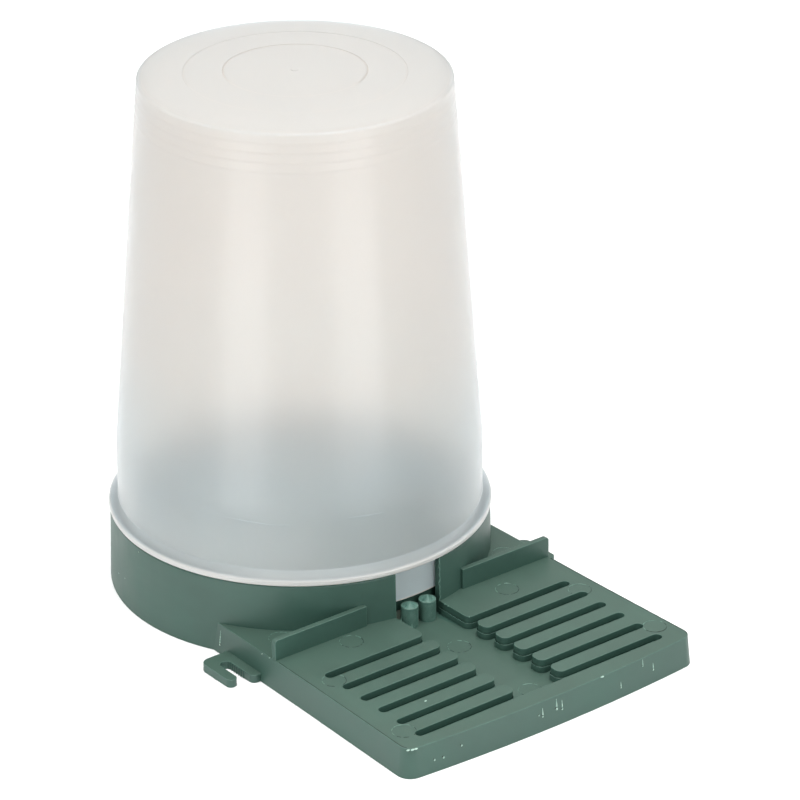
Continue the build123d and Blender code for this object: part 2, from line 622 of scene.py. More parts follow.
@dataclass
class ShapeTree:
    """A geometry node tree that works on a mesh and has named inputs."""

    name: str
    inputs: dict[str, str]
    tree: bpy.types.NodeTree = field(init=False)
    add: AddNode = field(init=False)
    given: bpy.types.NodeOutputs = field(init=False)

    def __post_init__(self) -> None:
        """Make the tree with its group input and its interface."""
        self.tree = bpy.data.node_groups.new(self.name, "GeometryNodeTree")
        self.add = partial(add_node, self.tree)
        face = self.tree.interface
        face.new_socket("Geometry", in_out="INPUT", socket_type="NodeSocketGeometry")
        for label, kind in {**self.inputs, "Finish": "NodeSocketMaterial"}.items():
            face.new_socket(label, in_out="INPUT", socket_type=kind)
        face.new_socket("Geometry", in_out="OUTPUT", socket_type="NodeSocketGeometry")
        self.given = self.add("NodeGroupInput").outputs

    def finish(self, shape: bpy.types.NodeSocket) -> ShapeTree:
        """End the tree: instances become real faces and take the finish.

        Args:
            shape: Geometry that the tree has made.

        Returns:
            This tree.
        """
        real = self.add("GeometryNodeRealizeInstances", links={"Geometry": shape})
        dressed = self.add(
            "GeometryNodeSetMaterial",
            links={"Geometry": real.outputs["Geometry"], "Material": self.given["Finish"]},
        )
        self.add("NodeGroupOutput", links={"Geometry": dressed.outputs["Geometry"]})
        return self

    def piece(
        self, name: str, start: bpy.types.Mesh, values: dict[str, object]
    ) -> bpy.types.Object:
        """Run the tree on a starting mesh and keep the result as a plain mesh.

        Args:
            name: Name of the new piece.
            start: Mesh that the tree works on.
            values: Value of each named input.

        Returns:
            An object at the origin, with no modifier left on it.
        """
        worker = placed(f"{name}_start", start)
        modifier = worker.modifiers.new(self.name, "NODES")
        modifier.node_group = self.tree
        for item in self.tree.interface.items_tree:
            if item.in_out == "INPUT" and item.name in values:
                modifier[item.identifier] = values[item.name]
        return placed(name, evaluated(worker))


@cache
def turning_tree() -> ShapeTree:
    """Tree that turns a profile, given as points in the XZ plane, about the Z axis.

    Returns:
        The tree, with an input for the number of steps round the axis.
    """
    made = ShapeTree("turned_profile", {"Steps": "NodeSocketInt"})
    profile, steps = made.given["Geometry"], made.given["Steps"]
    size = made.add("GeometryNodeAttributeDomainSize", links={0: profile})
    count = size.outputs["Point Count"]
    rings = made.add("ShaderNodeMath", {"operation": "ADD", 1: 1.0}, {0: steps})
    grid = made.add(
        "GeometryNodeMeshGrid",
        links={"Vertices X": rings.outputs["Value"], "Vertices Y": count},
    )
    index = made.add("GeometryNodeInputIndex").outputs["Index"]
    whole = made.add("ShaderNodeMath", {"operation": "DIVIDE"}, {0: index, 1: count})
    step = made.add("ShaderNodeMath", {"operation": "FLOOR"}, {0: whole.outputs["Value"]})
    row = made.add("ShaderNodeMath", {"operation": "MODULO"}, {0: index, 1: count})
    own_point = {"Geometry": profile, "Index": row.outputs["Value"]}
    position = made.add("GeometryNodeInputPosition").outputs["Position"]
    point = made.add(
        "GeometryNodeSampleIndex", {"data_type": "FLOAT_VECTOR"}, {**own_point, "Value": position}
    )
    turn = made.add("ShaderNodeMath", {"operation": "DIVIDE"}, {0: step.outputs["Value"], 1: steps})
    angle = made.add(
        "ShaderNodeMath", {"operation": "MULTIPLY", 1: FULL_TURN}, {0: turn.outputs["Value"]}
    )
    about_z = made.add("ShaderNodeCombineXYZ", links={"Z": angle.outputs["Value"]})
    spun = made.add(
        "ShaderNodeVectorRotate",
        {"rotation_type": "EULER_XYZ"},
        {"Vector": point.outputs["Value"], "Rotation": about_z.outputs["Vector"]},
    )
    turned = made.add(
        "GeometryNodeSetPosition",
        links={"Geometry": grid.outputs["Mesh"], "Position": spun.outputs["Vector"]},
    )
    shape = turned.outputs["Geometry"]
    for label in (INNER_SKIN, DENSITY):
        given = made.add("GeometryNodeInputNamedAttribute", {"data_type": "FLOAT", "Name": label})
        own = made.add(
            "GeometryNodeSampleIndex",
            {"data_type": "FLOAT"},
            {**own_point, "Value": given.outputs["Attribute"]},
        )
        marked = made.add(
            "GeometryNodeStoreNamedAttribute",
            {"data_type": "FLOAT", "domain": "POINT", "Name": label},
            {"Geometry": shape, "Value": own.outputs["Value"]},
        )
        shape = marked.outputs["Geometry"]
    closed = made.add(
        "GeometryNodeMergeByDistance", {"Distance": SEAM_MM * MM}, {"Geometry": shape}
    )
    return made.finish(closed.outputs["Geometry"])


@cache
def kerb_tree(corner_steps: int = 7, edge_steps: int = 3) -> ShapeTree:
    """Tree that runs a low kerb along a path whose corners are rounded.

    Args:
        corner_steps: Number of points on each of the path's rounds.
        edge_steps: Number of points on each round of the kerb's section.

    Returns:
        The tree, with inputs for the kerb's width, height and edge round. The points carry the
        attribute corner_radius.
    """
    kind = "NodeSocketFloat"
    made = ShapeTree("kerb_along_path", {"Width": kind, "Height": kind, "Round": kind})
    radius = made.add(
        "GeometryNodeInputNamedAttribute", {"data_type": "FLOAT", "Name": "corner_radius"}
    )
    loop = made.add("GeometryNodeMeshToCurve", links={"Mesh": made.given["Geometry"]})
    rounded = made.add(
        "GeometryNodeFilletCurve",
        {"mode": "POLY", "Count": corner_steps, "Limit Radius": True},
        {"Curve": loop.outputs["Curve"], "Radius": radius.outputs["Attribute"]},
    )
    level = made.add(
        "GeometryNodeSetCurveNormal", {"mode": "Z_UP"}, {"Curve": rounded.outputs["Curve"]}
    )
    section = made.add(
        "GeometryNodeCurvePrimitiveQuadrilateral",
        links={"Width": made.given["Width"], "Height": made.given["Height"]},
    )
    eased = made.add(
        "GeometryNodeFilletCurve",
        {"mode": "POLY", "Count": edge_steps, "Limit Radius": True},
        {"Curve": section.outputs["Curve"], "Radius": made.given["Round"]},
    )
    swept = made.add(
        "GeometryNodeCurveToMesh",
        {"Fill Caps": True},
        {"Curve": level.outputs["Curve"], "Profile Curve": eased.outputs["Curve"]},
    )
    return made.finish(swept.outputs["Mesh"])


@cache
def bead_tree() -> ShapeTree:
    """Tree that runs a round bead along each path of a mesh.

    Returns:
        The tree. The points carry the bead's radius there as the attribute bead_radius.
    """
    made = ShapeTree("bead_along_paths", {"Sides": "NodeSocketInt"})
    radius = made.add(
        "GeometryNodeInputNamedAttribute", {"data_type": "FLOAT", "Name": "bead_radius"}
    )
    paths = made.add("GeometryNodeMeshToCurve", links={"Mesh": made.given["Geometry"]})
    section = made.add(
        "GeometryNodeCurvePrimitiveCircle", {"Radius": 1.0}, {"Resolution": made.given["Sides"]}
    )
    bead = made.add(
        "GeometryNodeCurveToMesh",
        {"Fill Caps": True},
        {
            "Curve": paths.outputs["Curve"],
            "Profile Curve": section.outputs["Curve"],
            "Scale": radius.outputs["Attribute"],
        },
    )
    return made.finish(bead.outputs["Mesh"])


@cache
def lobe_tree() -> ShapeTree:
    """Tree that sets a rounded lobe at each point, by the point's own size and turn.

    Returns:
        The tree. The points carry the vector attributes lobe_size and lobe_turn.
    """
    made = ShapeTree("lobe_at_points", {"Detail": "NodeSocketInt"})
    size, turn = (
        made.add("GeometryNodeInputNamedAttribute", {"data_type": "FLOAT_VECTOR", "Name": label})
        for label in ("lobe_size", "lobe_turn")
    )
    ball = made.add(
        "GeometryNodeMeshIcoSphere", {"Radius": 1.0}, {"Subdivisions": made.given["Detail"]}
    )
    rotation = made.add("FunctionNodeEulerToRotation", links={"Euler": turn.outputs["Attribute"]})
    lobes = made.add(
        "GeometryNodeInstanceOnPoints",
        links={
            "Points": made.given["Geometry"],
            "Instance": ball.outputs["Mesh"],
            "Rotation": rotation.outputs["Rotation"],
            "Scale": size.outputs["Attribute"],
        },
    )
    return made.finish(lobes.outputs["Instances"])


@dataclass(frozen=True)
class Corner:
    """A corner of a turned profile, in millimetres, with the radius that rounds it."""

    radius: float
    level: float
    blend: float = 0.0


def rounded_profile(
    corners: Sequence[Corner], step: float = 9.0, straight: float = 1.0
) -> list[Point2]:
    """Replace each corner of an open profile by an arc.

    Args:
        corners: Corners in order; the first and last stay sharp.
        step: Largest turn between two points of an arc, in degrees.
        straight: Turn below which a corner needs no arc, in degrees.

    Returns:
        Radius and level of each point, in millimetres.
    """
    points = [(corners[0].radius, corners[0].level)]
    for before, corner, after in zip(corners, corners[1:], corners[2:]):
        tip = Vector((corner.radius, corner.level))
        back = Vector((before.radius, before.level)) - tip
        ahead = Vector((after.radius, after.level)) - tip
        opening = back.angle(ahead)
        sweep = math.pi - opening
        if corner.blend == 0 or sweep < math.radians(straight):
            points.append((tip.x, tip.y))
            continue
        half = opening / 2
        middle = (back.normalized() + ahead.normalized()).normalized()
        centre = tip + middle * (corner.blend / math.sin(half))
        start = tip + back.normalized() * (corner.blend / math.tan(half)) - centre
        side = math.copysign(1, back.x * ahead.y - back.y * ahead.x)
        count = max(2, math.ceil(math.degrees(sweep) / step))
        for share in range(count + 1):
            turn = -side * sweep * share / count
            cos, sin = math.cos(turn), math.sin(turn)
            radius = centre.x + start.x * cos - start.y * sin
            level = centre.y + start.x * sin + start.y * cos
            points.append((radius, level))
    points.append((corners[-1].radius, corners[-1].level))
    return points


@dataclass(frozen=True)
class Bead:
    """A point of a path along which a bead runs, and the bead's radius there, in millimetres.

    Where the radius is zero, the path is broken.
    """

    place: Vector
    radius: float


def run_beads(
    name: str, paths: Sequence[Sequence[Bead]], material: bpy.types.Material, sides: int = 8
) -> bpy.types.Object:
    """Run beads along paths on a moulding.

    Args:
        name: Name of the piece.
        paths: Points of each path, in order.
        material: Finish of all beads.
        sides: Number of sides of a bead's section.

    Returns:
        All beads as one piece.
    """
    points: list[Bead] = []
    edges: list[tuple[int, int]] = []
    for path in paths:
        for at, (here, ahead) in enumerate(pairwise(path), len(points)):
            if here.radius > 0 and ahead.radius > 0:
                edges.append((at, at + 1))
        points += path
    start = mesh_of(f"{name}_paths", [point.place * MM for point in points], edges)
    give(start, "bead_radius", [point.radius * MM for point in points])
    return bead_tree().piece(name, start, {"Sides": sides, "Finish": material})


@dataclass
class Reservoir:
    """The upturned pail: crown, stacking steps, cone, neck, flange and skirt, in millimetres."""

    wall: float = 1.3
    seat_level: float = 32.83
    seat_round: float = 0.4
    flange_thickness: float = 2.0
    flange_slope: float = 3.5
    flange_edge: float = 0.85
    neck_radius: float = 76.1
    neck_top: float = 62.0
    neck_blend: float = 60.0
    crown_radius: float = 63.4
    crown_rise: float = 2.45
    crown_blend: float = 1.2
    crown_inset: float = 1.0
    inner_inset: float = 2.0
    dome_power: int = 3
    dome_pitch: float = 4.0
    panel_depth: float = 0.12
    disc_depth: float = 0.22
    crown_lines: tuple[float, ...] = (28.5, 44.4, 61.2)
    line_width: float = 0.5
    line_gap: float = 0.1
    gate_radius: float = 1.6
    gate_height: float = 0.15
    mouth_round: float = 0.6
    step_first: float = 4.2
    step_pitch: float = 3.85
    step_count: int = 4
    step_size: float = 0.2
    step_blend: float = 0.4
    steps_round: int = 224
    # How much denser than the plain wall each part looks, and where it starts
    crown_density: float = 1.2
    line_density: float = 0.35
    lip_density: float = 2.0
    lip_width: float = 1.0
    slope_density: float = 0.86
    slope_start: float = 0.3
    skirt_density: float = 2.2
    bead_density: float = 5.0
    bead_height: float = 1.0
    tolerance: float = 0.1
    # How far the outer face goes from its cool skin to the warm one, and at which levels
    thick_warmth: float = 0.35
    most_warmth: float = 0.5
    upper_warmth: float = 0.2
    warm_from: float = 75.0
    warm_to: float = 115.0
    # Angle in degrees and level of both ends of each scratch
    scratches: tuple[tuple[Point2, Point2], ...] = (
        ((-113.3, 60.7), (-100.4, 60.1)),
        ((-150.0, 59.8), (-134.0, 58.6)),
        ((-134.0, 58.7), (-129.0, 58.9)),
    )
    scratch_density: float = 2.6
    scratch_bead: float = 0.06
    scratch_least: float = 0.3
    scratch_points: int = 12
    finish: Finish = NaturalPolypropylene()
    crown: float = field(init=False)
    mouth: float = field(init=False)
    flange_radius: float = field(init=False)
    plastic: bpy.types.Material = field(init=False)

    def __post_init__(self) -> None:
        """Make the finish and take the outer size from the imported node."""
        self.plastic = self.finish.material()
        low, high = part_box(Moulding.RESERVOIR.value)
        self.crown = high.z / MM - self.crown_rise
        self.mouth = low.z / MM
        self.flange_radius = high.x / MM

    def cone(self, level: float) -> float:
        """Outer radius of the cone at a level."""
        share = (self.crown - level) / (self.crown - self.neck_top)
        return self.crown_radius + (self.neck_radius - self.crown_radius) * share

    def dome(self, radius: float) -> float:
        """Level at a radius of the domed crown, which is flattest at its centre."""
        fall = (radius / self.crown_radius) ** self.dome_power
        return self.crown + self.crown_rise * (1 - fall)

    def dome_run(self, start: float, end: float, depth: float = 0.0) -> list[Corner]:
        """Points along the dome between two radii.

        Args:
            start: Radius of the first point.
            end: Radius of the last point.
            depth: How far the dome is sunk there.

        Returns:
            Corners without rounds.
        """
        count = max(1, math.ceil(abs(end - start) / self.dome_pitch))
        radii = [start + (end - start) * share / count for share in range(count + 1)]
        return [Corner(radius, self.dome(radius) - depth) for radius in radii]

    def outside(self) -> list[Corner]:
        """Corners of the outer profile, from the crown's centre to the mouth.

        Returns:
            The corners with their rounds.
        """
        flange_top = self.seat_level + self.flange_thickness
        lip_share = self.lip_width / (self.flange_radius - self.neck_radius)
        lip_level = flange_top + self.flange_slope * lip_share
        half, ease = self.step_size / 2, self.step_blend
        gate = self.dome(0) - self.disc_depth + self.gate_height
        corners = [Corner(0, gate), Corner(self.gate_radius, gate)]
        start = self.gate_radius + self.gate_height
        depths = (self.disc_depth, self.panel_depth, 0.0)
        for line, depth in zip(self.crown_lines, depths):
            corners += self.dome_run(start, line - self.line_gap, depth)
            start = line + self.line_width
            corners += self.dome_run(line, start, depth)
            start += self.line_gap
        corners += self.dome_run(start, self.crown_radius - self.crown_inset)
        corners.append(Corner(self.crown_radius, self.crown, self.crown_blend))
        for step in range(self.step_count):
            level = self.crown - self.step_first - step * self.step_pitch
            corners.append(Corner(self.cone(level) - half, level + ease, ease / 2))
            corners.append(Corner(self.cone(level) + half, level - ease, ease / 2))
        return [
            *corners,
            Corner(self.cone(self.warm_to), self.warm_to),
            Corner(self.cone(self.warm_from), self.warm_from),
            Corner(self.neck_radius, self.neck_top, self.neck_blend),
            Corner(self.neck_radius, flange_top + self.flange_slope, self.flange_edge),
            Corner(self.flange_radius - self.lip_width, lip_level),
            Corner(self.flange_radius, flange_top, self.flange_edge),
            Corner(self.flange_radius, self.seat_level, self.flange_edge),
            Corner(self.neck_radius, self.seat_level, self.seat_round),
            Corner(self.neck_radius, self.mouth + self.bead_height),
            Corner(self.neck_radius, self.mouth, self.mouth_round),
        ]

    def inside(self) -> list[Corner]:
        """Corners of the inner profile, from the mouth to the crown's centre.

        Returns:
            The corners with their rounds.
        """
        level = self.crown - self.wall
        edge = self.cone(level) - self.wall
        bore = self.neck_radius - self.wall
        return [
            Corner(bore, self.mouth, self.mouth_round),
            Corner(bore, self.mouth + self.bead_height),
            Corner(bore, self.neck_top, self.neck_blend),
            Corner(edge, level, self.crown_blend),
            *self.dome_run(edge - self.inner_inset, 0.0, self.wall + self.disc_depth),
        ]

    def on_skirt(self, level: float) -> bool:
        """Whether a level lies on the skirt, above its bead and below the flange."""
        bead_top = self.mouth + self.bead_height
        return bead_top - self.tolerance < level < self.seat_level - self.tolerance

    def density(self, radius: float, level: float) -> float:
        """Find how much denser than the wall the plastic looks at a point of the profile.

        Args:
            radius: Radius of the point.
            level: Level of the point.

        Returns:
            One for the wall, more where the plastic is thicker or light runs along inside it,
            less on the flange's slope and the crown's lines, through which the dark shows.
        """
        if level > self.dome(radius) - self.wall / 2:
            on_line = any(0 <= radius - line <= self.line_width for line in self.crown_lines)
            return self.line_density if on_line else self.crown_density
        if level > self.crown - self.wall - self.crown_blend:
            return self.crown_density
        if self.on_skirt(level):
            return self.skirt_density
        if level < self.seat_level - self.tolerance:
            return self.bead_density
        if radius > self.flange_radius - self.lip_width + self.tolerance:
            return self.lip_density
        return self.slope_density if radius > self.neck_radius + self.slope_start else 1.0

    def warmth(self, level: float, density: float) -> float:
        """Find how far the outer face goes from its cool skin to the warm inner one.

        Args:
            level: Level of the point.
            density: How dense the plastic looks there.

        Returns:
            More where the plastic is thick and higher up, where light comes through from behind,
            and nothing for the skirt in the shade of the ring.
        """
        if self.on_skirt(level):
            return 0.0
        height = (level - self.warm_from) / (self.warm_to - self.warm_from)
        upper = self.upper_warmth * min(1.0, max(0.0, height))
        return max(upper, min(self.most_warmth, self.thick_warmth * abs(density - 1)))

    def shell(self) -> bpy.types.Object:
        """Turn the profile to the closed, thin-walled shell.

        Returns:
            The shell.
        """
        profile = rounded_profile([*self.outside(), *self.inside()])
        lowest = min(range(len(profile)), key=lambda at: profile[at][1])
        density = [self.density(radius, level) for radius, level in profile]
        warm = [
            1.0 if at > lowest else self.warmth(level, density[at])
            for at, (_, level) in enumerate(profile)
        ]
        points = [(radius * MM, 0.0, level * MM) for radius, level in profile]
        start = mesh_of("reservoir_profile", points)
        give(start, INNER_SKIN, warm)
        give(start, DENSITY, density)
        shell = turning_tree().piece(
            "reservoir_shell", start, {"Steps": self.steps_round, "Finish": self.plastic}
        )
        outward(shell.data)
        return shell

    def scratch_lines(self) -> bpy.types.Object:
        """Make the raised lips of the deeper scratches on the neck.

        Returns:
            All lips as one piece.
        """
        paths = []
        for (angle, level), (end_angle, end_level) in self.scratches:
            path = []
            for step in range(self.scratch_points + 1):
                share = step / self.scratch_points
                turn = math.radians(angle + (end_angle - angle) * share)
                here = level + (end_level - level) * share
                radius = min(self.neck_radius, self.cone(here))
                place = Vector((math.cos(turn) * radius, math.sin(turn) * radius, here))
                swell = self.scratch_least + math.sin(math.pi * share)
                path.append(Bead(place, self.scratch_bead * swell))
            paths.append(path)
        lines = run_beads("reservoir_scratches", paths, self.plastic)
        give(lines.data, DENSITY, [self.scratch_density] * len(lines.data.vertices))
        return lines

    def dress(self) -> None:
        """Build the shell, set it in place of the CAD node and scratch it."""
        for piece, stands_for in ((self.shell(), True), (self.scratch_lines(), False)):
            smooth(piece.data, SMOOTH_LIMIT)
            hand_over(piece, Moulding.RESERVOIR, stands_for)


@dataclass(frozen=True)
class Blister:
    """A burst bubble on a wall: a glossy bead below a pale tail, beside a dark pit.

    The bead and tail are partly painted highlight, and the pit's nearly black is painted shade.
    The place along the wall, the bead's level and the sizes are millimetres.
    """

    across: float
    level: float
    tail: float
    size: float
    wall: Wall = Wall.FRONT


@dataclass
class Base:
    """The green moulding: ring, tray and grooved platform, with the marks that moulding leaves.

    Some marks are painted shade and painted highlight. Sizes and places are millimetres.
    """

    source: bpy.types.Object
    weld: float = 0.002
    flat_limit: float = 0.5
    edge_round: float = 0.2
    edge_limit: float = 35.0
    rim_round: float = 1.0
    round_segments: int = 3
    rim_level: float = 32.8
    rim_radius: float = 79.45
    floor_level: float = 7.2
    platform_top: float = 12.9
    platform_front: float = 162.0
    channel_half_width: float = 11.3
    channel_start: float = 79.0
    groove_first: float = 99.4
    groove_pitch: float = 11.4
    groove_count: int = 6
    groove_half_width: float = 2.15
    groove_end: float = 62.9
    bar_corner: float = 2.8
    ledge_level: float = 9.9
    ledge_width: float = 0.45
    # Height of the lighter green band at the ledge's top, a painted highlight
    ledge_highlight: float = 0.2
    ledge_proud: float = 0.05
    ledge_round: float = 0.08
    circle_points: int = 96
    pin_radius: float = 4.8
    pin_bead: float = 0.13
    pin_probe: float = 1.0
    pin_reach: float = 1.1
    pin_patch: float = 1.3
    pin_share: float = 0.9
    pin_swing: float = 0.8
    pin_least: float = 0.7
    pins_on_platform: tuple[Point2, ...] = (
        (-62.2, -103.8),
        (-64.9, -151.4),
        (-37.7, -83.3),
        (-58.3, -63.4),
        (39.3, -88.3),
        (62.3, -107.3),
        (65.8, -149.5),
        (58.3, -63.4),
    )
    pins_in_channel: tuple[Point2, ...] = ((0.0, -105.5), (0.0, -150.0))
    parting_inset: float = 0.45
    parting_bead: float = 0.2
    parting_points: int = 60
    parting_patch: float = 9.0
    parting_share: float = 0.75
    parting_swing: float = 0.5
    parting_slice: float = 2.0
    post_radius: float = 3.6
    post_half_spacing: float = 4.6
    post_distance: float = 79.1
    post_rim_level: float = 16.2
    post_rim_radius: float = 3.35
    post_rim_bead: float = 0.24
    post_bowl_radius: float = 3.1
    post_bowl_depth: float = 0.7
    post_bowl_share: float = 0.99
    post_bowl_clear: float = 0.01
    post_point: float = 2.2
    post_point_power: int = 3
    post_reach: float = 0.1
    # Paling of post tops, rounded corners and post shafts; on tops and corners partly painted
    # highlight
    bowl_wear_and_highlight: float = 2.0
    corner_wear_and_highlight: float = 0.55
    shaft_wear: float = 0.7
    post_line_first: float = 8.0
    post_line_pitch: float = 0.5
    post_line_count: int = 15
    post_line_bead: float = 0.035
    rib_wall: float = 75.925
    rib_first: float = 51.4
    rib_pitch: float = 1.5
    rib_count: int = 8
    rib_bead: float = 0.35
    lug_thickness: float = 3.6
    blisters: tuple[Blister, ...] = (
        Blister(-61.2, 5.3, 0.0, 0.4),
        Blister(-57.0, 5.0, 0.0, 0.45),
        Blister(-48.4, 7.3, 0.0, 0.4),
        Blister(-10.6, 7.5, 0.0, 0.35),
        Blister(-8.7, 6.4, 3.6, 0.42),
        Blister(-1.6, 7.2, 4.4, 0.55),
        Blister(1.2, 6.2, 4.0, 0.42),
        Blister(32.3, 4.5, 2.6, 0.32),
        Blister(44.6, 9.5, 3.0, 0.32),
        Blister(50.3, 5.8, 3.0, 0.38),
        Blister(-39.8, 4.0, 6.4, 0.42, Wall.LEFT),
        Blister(4.6, 30.6, 0.0, 0.3, Wall.LEFT),
        Blister(24.7, 11.1, 0.0, 0.3, Wall.LEFT),
        Blister(17.4, 12.5, 0.0, 0.25, Wall.LEFT),
    )
    # Shares of a blister's size: its marks' half sizes, the pit's shift, the tail's foot and radii
    bead_shape: Point3 = (1.0, 0.4, 1.0)
    pit_shape: Point3 = (0.8, 0.15, 1.0)
    pit_shift: Point2 = (-1.0, 0.9)
    tail_foot: float = 1.8
    tail_radii: Point3 = (0.15, 0.5, 0.7)
    # Place of each scuff, and its share of the full size
    scuffs: tuple[tuple[Point3, float], ...] = (
        ((-72.4, -163.4, 12.75), 1.0),
        ((-71.0, -164.3, 12.8), 1.0),
        ((-69.6, -164.6, 12.85), 1.0),
        ((22.5, -167.0, 12.75), 1.0),
        ((-44.1, -138.7, 12.9), 0.7),
        ((-71.8, -69.1, 12.85), 0.4),
        ((-71.4, -73.5, 12.85), 0.4),
    )
    scuff_size: Point3 = (0.9, 0.5, 0.22)
    lobe_detail: int = 3
    flash_low: float = 13.0
    flash_high: float = 32.3
    flash_step: float = 0.4
    flash_least: float = 0.1
    flash_most: float = 0.3
    flash_shift: float = 0.2
    flash_inset: float = 0.3
    flash_sway: float = 0.7
    # Waves for each millimetre, and the slice of the noise that each reads
    flash_swell_rate: float = 0.7
    flash_swell_slice: Point2 = (5.0, 3.0)
    flash_sway_rate: float = 0.5
    flash_sway_slice: Point2 = (9.0, 1.0)
    # X, Y and height of each burr
    burrs: tuple[Point3, ...] = (
        (-11.3, -82.0, 1.7),
        (-11.3, -89.0, 1.9),
        (11.3, -82.4, 0.6),
        (11.3, -84.4, 0.6),
        (12.2, -96.9, 0.6),
    )
    burr_radius: float = 0.3
    burr_root: float = 0.3
    burr_lean: Point2 = (0.15, 0.1)
    burr_taper: Point3 = (1.0, 0.7, 0.15)
    # Distances from the axis at which a line of sight starts: clear of all, and over the platform
    far: float = 300.0
    over_platform: float = 120.0
    finish: Finish = GreenPolypropylene()
    surface: BVHTree = field(init=False)
    green: bpy.types.Material = field(init=False)
    rubbed_and_glint: bpy.types.Material = field(init=False)
    pale: bpy.types.Material = field(init=False)
    dark: bpy.types.Material = field(init=False)

    def __post_init__(self) -> None:
        """Make the finishes and a tree that finds points on the moulding's surface."""
        mesh = self.source.data
        corners = [vertex.co.copy() for vertex in mesh.vertices]
        faces = [tuple(face.vertices) for face in mesh.polygons]
        self.surface = BVHTree.FromPolygons(corners, faces)
        self.green = self.finish.material()
        self.rubbed_and_glint = RUBBED_AND_GLINT.material()
        self.pale = STRESSED_AND_GLINT.material()
        self.dark = PAINTED_SHADE.material()

    def edge_share(self, edge: bmesh.types.BMEdge) -> float:
        """Find how much of the largest round an edge gets.

        Args:
            edge: Edge between two faces of the moulding.

        Returns:
            Nothing for a shallow or hollow edge, and all of it for the rim under the flange.
        """
        if edge.calc_face_angle_signed() < math.radians(self.edge_limit):
            return 0.0
        ends = [vertex.co / MM for vertex in edge.verts]
        on_rim = all(
            end.z > self.rim_level - self.edge_round
            and end.xy.length > self.rim_radius - self.edge_round
            for end in ends
        )
        return 1.0 if on_rim else self.edge_round / self.rim_round

    def from_post(self, place: Vector) -> float:
        """Distance of a place from the axis of the nearer guard post."""
        return math.hypot(abs(place.x) - self.post_half_spacing, place.y + self.post_distance)

    def hollow_posts(self, shape: bmesh.types.BMesh) -> None:
        """Sink a bowl round the point on top of each guard post.

        Args:
            shape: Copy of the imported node.
        """
        for corner in shape.verts:
            place = corner.co / MM
            share = self.from_post(place) / self.post_bowl_radius
            on_top = place.z > self.post_rim_level + self.post_bowl_clear
            if on_top and share < self.post_bowl_share:
                point = self.post_point * (1 - share) ** self.post_point_power
                bowl = self.post_bowl_depth * math.sin(math.pi * share)
                corner.co.z = (self.post_rim_level + point - bowl) * MM

    def post_wear_and_highlight(self, place: Vector) -> float:
        """Find how far pulling the mould off, and painted highlight on top, pale a guard post.

        Args:
            place: Place on the moulding, in millimetres.

        Returns:
            Nothing off the posts, some on their shafts and most in their bowls.
        """
        beside = self.from_post(place) > self.post_radius + self.post_reach
        if beside or place.z < self.floor_level + self.post_reach:
            return 0.0
        on_top = place.z > self.post_rim_level - self.post_bowl_depth - self.post_reach
        return self.bowl_wear_and_highlight if on_top else self.shaft_wear

    def wear_and_highlight(self, place: Vector, on_round: bool) -> float:
        """How far handling and painted highlight pale a face: not where flat or on the covered rim.
        """
        open_round = on_round and place.z < self.rim_level - self.rim_round
        return max(self.post_wear_and_highlight(place), self.corner_wear_and_highlight if open_round else 0.0)

    def rounded(self) -> bpy.types.Mesh:
        """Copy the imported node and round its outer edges.

        Returns:
            A mesh with two places for a finish, of which the second tells the rounds apart.
        """
        start = self.source.data.copy()
        with editing(start) as shape:
            bmesh.ops.remove_doubles(shape, verts=shape.verts, dist=self.weld * MM)
            self.hollow_posts(shape)
            flat = math.radians(self.flat_limit)
            bmesh.ops.dissolve_limit(shape, angle_limit=flat, verts=shape.verts, edges=shape.edges)
            weight = shape.edges.layers.float.new("bevel_weight_edge")
            for edge in shape.edges:
                edge[weight] = self.edge_share(edge)
        start.materials.clear()
        for _ in range(2):
            start.materials.append(self.green)
        worker = placed("base_start", start)
        rounds = worker.modifiers.new("edge_rounds", "BEVEL")
        rounds.limit_method = "WEIGHT"
        rounds.width = self.rim_round * MM
        rounds.segments = self.round_segments
        rounds.use_clamp_overlap = False
        rounds.material = 1
        return evaluated(worker)

    def moulding(self) -> bpy.types.Object:
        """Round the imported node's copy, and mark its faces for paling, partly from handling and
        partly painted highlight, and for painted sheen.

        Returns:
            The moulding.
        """
        rounded = self.rounded()
        smooth(rounded, self.edge_limit)
        worker = placed("base_rounded", rounded)
        normals = worker.modifiers.new("flat_faces", "WEIGHTED_NORMAL")
        normals.keep_sharp = True
        mesh = evaluated(worker)
        levels, wear_and_highlight = [], []
        for face in mesh.polygons:
            # Painted sheen only on level faces outside the ring
            in_ring = face.center.xy.length < self.rim_radius * MM
            levels.append(0.0 if in_ring else max(0.0, face.normal.z))
            wear_and_highlight.append(self.wear_and_highlight(face.center / MM, face.material_index == 1))
            face.material_index = 0
        give(mesh, LEVEL_FACE, levels, domain="FACE")
        give(mesh, EDGE_WEAR_AND_HIGHLIGHT, wear_and_highlight, domain="FACE")
        mesh.materials.pop()
        return placed("base_moulding", mesh)

    def channel_loop(self) -> list[tuple[Point2, float]]:
        """Corners of the channel and its grooves, each with the radius that rounds it.

        Returns:
            Corners in order from the ring's notch round the right half, then round the left.
        """
        half, wide = self.groove_half_width, self.channel_half_width
        right: list[tuple[Point2, float]] = [((wide, -self.channel_start), 0.0)]
        for row in range(self.groove_count):
            middle = -self.groove_first - row * self.groove_pitch
            right += [
                ((wide, middle + half), self.bar_corner),
                ((self.groove_end, middle + half), half),
                ((self.groove_end, middle - half), half),
                ((wide, middle - half), self.bar_corner),
            ]
        # The far wall of the last groove runs straight across, with no corner
        right.pop()
        left = [((-x, y), radius) for (x, y), radius in reversed(right)]
        return right + left

